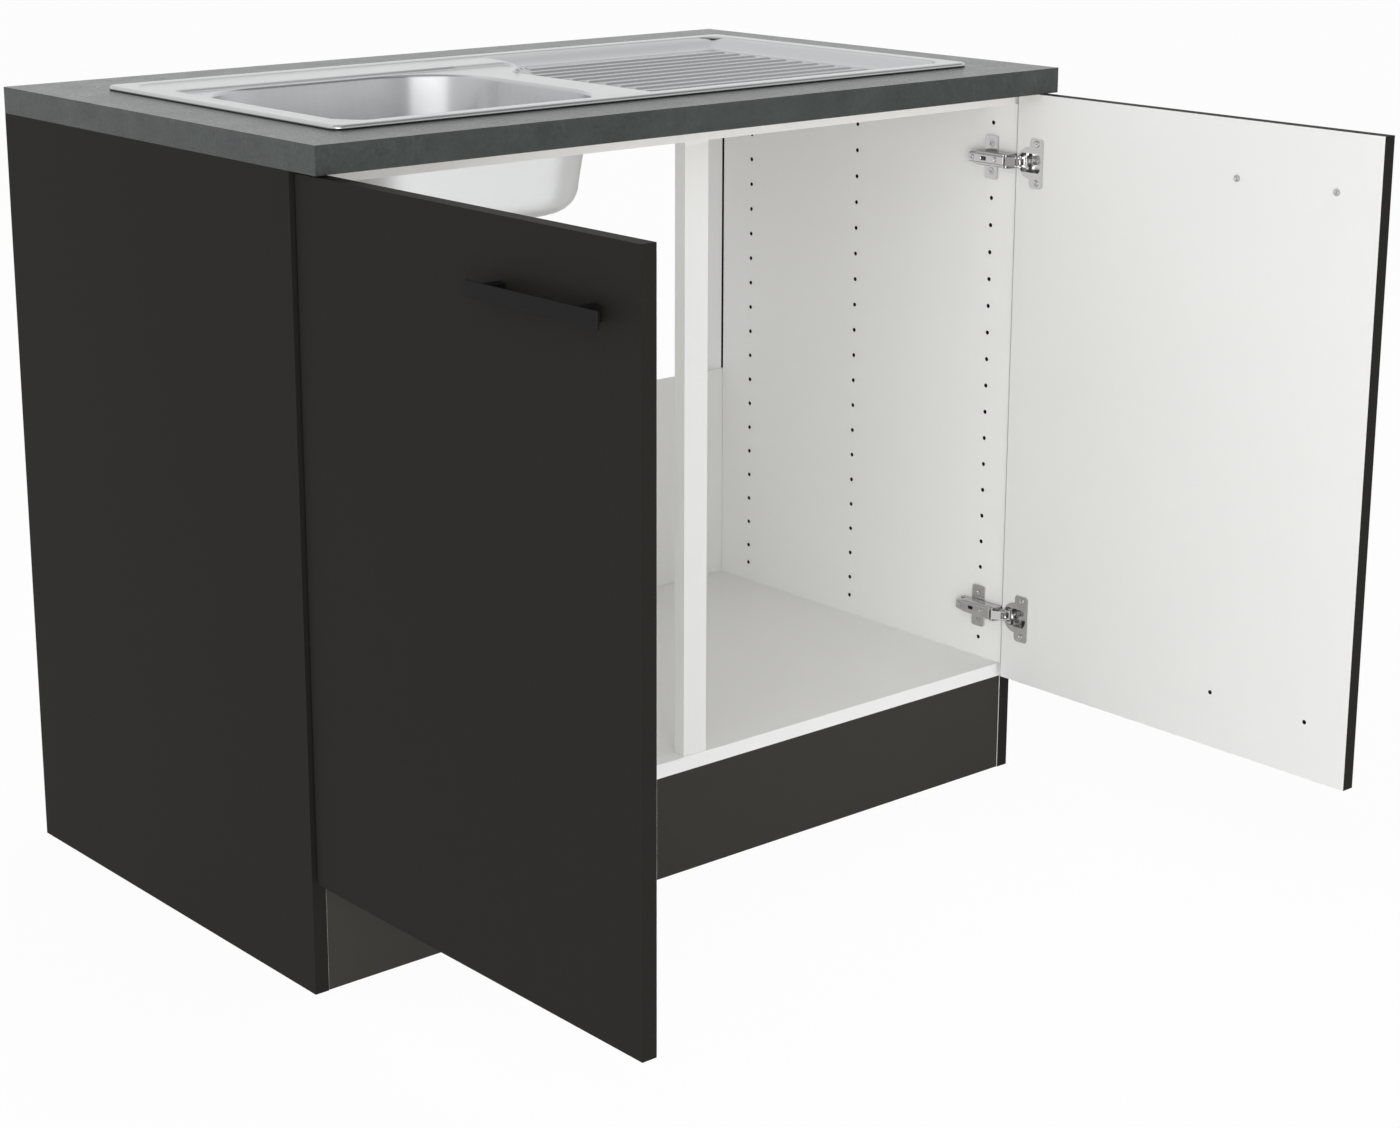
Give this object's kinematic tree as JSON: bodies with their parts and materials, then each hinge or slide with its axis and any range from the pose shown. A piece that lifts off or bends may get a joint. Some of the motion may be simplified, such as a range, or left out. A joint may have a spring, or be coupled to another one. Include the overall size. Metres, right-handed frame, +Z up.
{
  "type": "kitchen sink unit",
  "caption": "Kitchen sink base unit: worktop, inset steel sink with bowl and ribbed drainer, hinged doors with bar handles on cup hinges, open-backed cabinet.",
  "frame": {"origin": "on the floor, at the underside of the front plinth board, in the cabinet's middle plane and 8 mm behind the side panels' front edges", "axes": "+X to the right along the front, +Y towards the wall, +Z up"},
  "size_m": [1.0346, 1.0562, 0.855],
  "materials": {
    "worktop_laminate": "mottled slate-look laminate",
    "dark_melamine": "matt anthracite melamine, white on the inner face",
    "grey_melamine": "matt anthracite melamine",
    "white_melamine": "matt white melamine",
    "hardboard": "white-faced hardboard",
    "beech": "raw",
    "zinc": "bright zinc",
    "nickel": "nickel plated",
    "stainless": "fine brushed stainless steel",
    "black_metal": "matt black powder coat",
    "seal_foam": "closed-cell foam",
    "seal_rubber": "plain",
    "white_plastic": "moulded"
  },
  "bodies": {
    "cabinet": {"adjusting_screws_left": "nickel", "adjusting_screws_right": "nickel", "arm_pins_left": "nickel", "arm_pins_right": "nickel", "back_panel": "hardboard", "bottom_shelf": "white_melamine", "cam_bolts": "zinc", "cams": "zinc", "centre_post": "white_melamine", "clip_screws": "zinc", "dowels": "beech", "front_rail": "white_melamine", "hinge_arms_left": "nickel", "hinge_arms_right": "nickel", "hinge_plates_left": "nickel", "hinge_plates_right": "nickel", "plate_screws_left": "nickel", "plate_screws_right": "nickel", "plinth_board": "grey_melamine", "rear_rail": "white_melamine", "side_panel_left": "dark_melamine", "side_panel_right": "dark_melamine", "sink": "stainless", "sink_clips": "zinc", "sink_seal": "seal_foam", "waste_body": "white_plastic", "waste_flange": "stainless", "waste_gasket": "seal_rubber", "waste_screw": "stainless", "worktop": "worktop_laminate", "worktop_screws": "zinc"},
    "door_left": {"cup_pins_left": "nickel", "cup_screws_left": "nickel", "door_edging_left": "dark_melamine", "door_left": "dark_melamine", "handle_left": "black_metal", "handle_screws_left": "zinc", "hinge_cups_left": "nickel"},
    "door_right": {"cup_pins_right": "nickel", "cup_screws_right": "nickel", "door_edging_right": "dark_melamine", "door_right": "dark_melamine", "handle_right": "black_metal", "handle_screws_right": "zinc", "hinge_cups_right": "nickel"},
    "inner_links_left": {"inner_links_left": "nickel"},
    "inner_links_right": {"inner_links_right": "nickel"},
    "outer_links_left": {"outer_links_left": "nickel"},
    "outer_links_right": {"outer_links_right": "nickel"},
    "strainer_basket": {"strainer_basket": "stainless"}
  },
  "joints": [
    {"name": "left_inner_link_hinge", "type": "hinge", "parent": "cabinet", "child": "inner_links_left", "pos_m": [-0.48094, -0.00957, 0.741], "axis": [0, 0, -1], "range_deg": [-1.19, 21.33]},
    {"name": "left_door_hinge", "type": "hinge", "parent": "inner_links_left", "child": "door_left", "pos_m": [-0.48705, -0.0202, 0.741], "axis": [0, 0, -1], "range_deg": [-111.4, 6.2]},
    {"name": "left_outer_link_hinge", "type": "hinge", "parent": "cabinet", "child": "outer_links_left", "pos_m": [-0.4685, -0.006, 0.741], "axis": [0, 0, -1], "range_deg": [-1.9, 33.6]},
    {"name": "right_inner_link_hinge", "type": "hinge", "parent": "cabinet", "child": "inner_links_right", "pos_m": [0.48094, -0.00957, 0.741], "axis": [0, 0, 1], "range_deg": [-1.19, 21.33]},
    {"name": "right_door_hinge", "type": "hinge", "parent": "inner_links_right", "child": "door_right", "pos_m": [0.48705, -0.0202, 0.741], "axis": [0, 0, 1], "range_deg": [-111.4, 6.2]},
    {"name": "right_outer_link_hinge", "type": "hinge", "parent": "cabinet", "child": "outer_links_right", "pos_m": [0.4685, -0.006, 0.741], "axis": [0, 0, 1], "range_deg": [-1.9, 33.6]},
    {"name": "basket_lift", "type": "slide", "parent": "cabinet", "child": "strainer_basket", "axis": [0, 0, 1], "range_m": [0, 0.15]}
  ],
  "couplings": [
    {"joint": "left_door_hinge", "follows": "left_inner_link_hinge", "ratio": -5.2194},
    {"joint": "left_outer_link_hinge", "follows": "left_inner_link_hinge", "ratio": 1.5738},
    {"joint": "right_door_hinge", "follows": "right_inner_link_hinge", "ratio": -5.2194},
    {"joint": "right_outer_link_hinge", "follows": "right_inner_link_hinge", "ratio": 1.5738}
  ]
}
